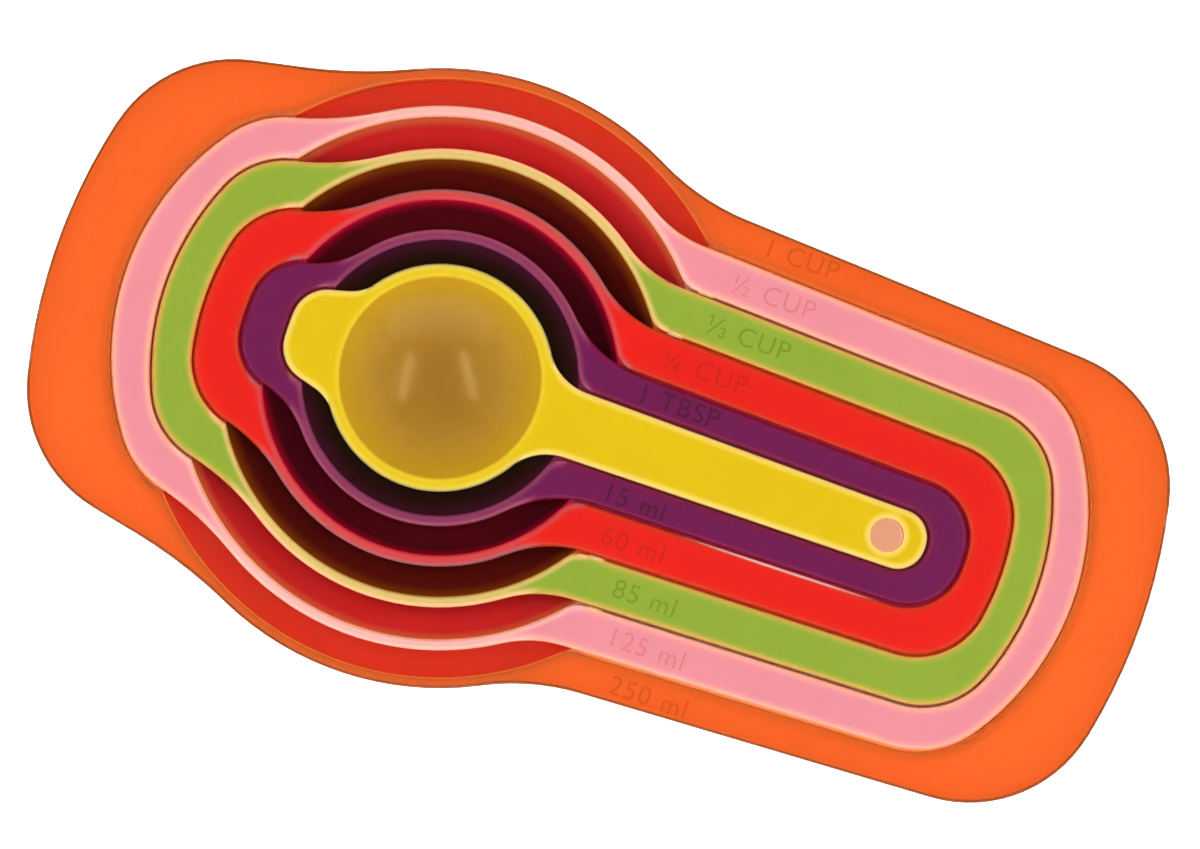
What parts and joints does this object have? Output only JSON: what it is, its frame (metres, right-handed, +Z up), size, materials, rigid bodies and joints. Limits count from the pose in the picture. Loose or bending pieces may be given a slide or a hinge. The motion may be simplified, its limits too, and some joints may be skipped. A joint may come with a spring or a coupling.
{
  "type": "measuring cup set",
  "caption": "Nested measuring cups, each a round bowl with a wide tray handle and a short thumb tab, the smaller cup dropping into the tray of the larger.",
  "frame": {"origin": "middle of the underside of the largest bowl, on the bowl axis, which all the bowls share", "axes": "+X from the bowls along the handles to their ends, +Z up out of the bowls, +Y across"},
  "size_m": [0.2197, 0.1188, 0.0423],
  "materials": {
    "orange": "satin moulded polypropylene",
    "pink": "satin moulded polypropylene",
    "green": "satin moulded polypropylene",
    "red": "satin moulded polypropylene",
    "purple": "satin moulded polypropylene",
    "yellow": "satin moulded polypropylene"
  },
  "bodies": {
    "one_cup": {"one_cup": "orange"},
    "half_cup": {"half_cup": "pink"},
    "third_cup": {"third_cup": "green"},
    "quarter_cup": {"quarter_cup": "red"},
    "tablespoon": {"tablespoon": "purple"},
    "teaspoon": {"teaspoon": "yellow"}
  },
  "joints": [
    {"name": "half_cup_lift", "type": "slide", "parent": "one_cup", "child": "half_cup", "axis": [0, 0, 1], "range_m": [0, 0.045]},
    {"name": "third_cup_lift", "type": "slide", "parent": "half_cup", "child": "third_cup", "axis": [0, 0, 1], "range_m": [0, 0.04]},
    {"name": "quarter_cup_lift", "type": "slide", "parent": "third_cup", "child": "quarter_cup", "axis": [0, 0, 1], "range_m": [0, 0.036]},
    {"name": "tablespoon_lift", "type": "slide", "parent": "quarter_cup", "child": "tablespoon", "axis": [0, 0, 1], "range_m": [0, 0.025]},
    {"name": "teaspoon_lift", "type": "slide", "parent": "tablespoon", "child": "teaspoon", "axis": [0, 0, 1], "range_m": [0, 0.018]}
  ]
}
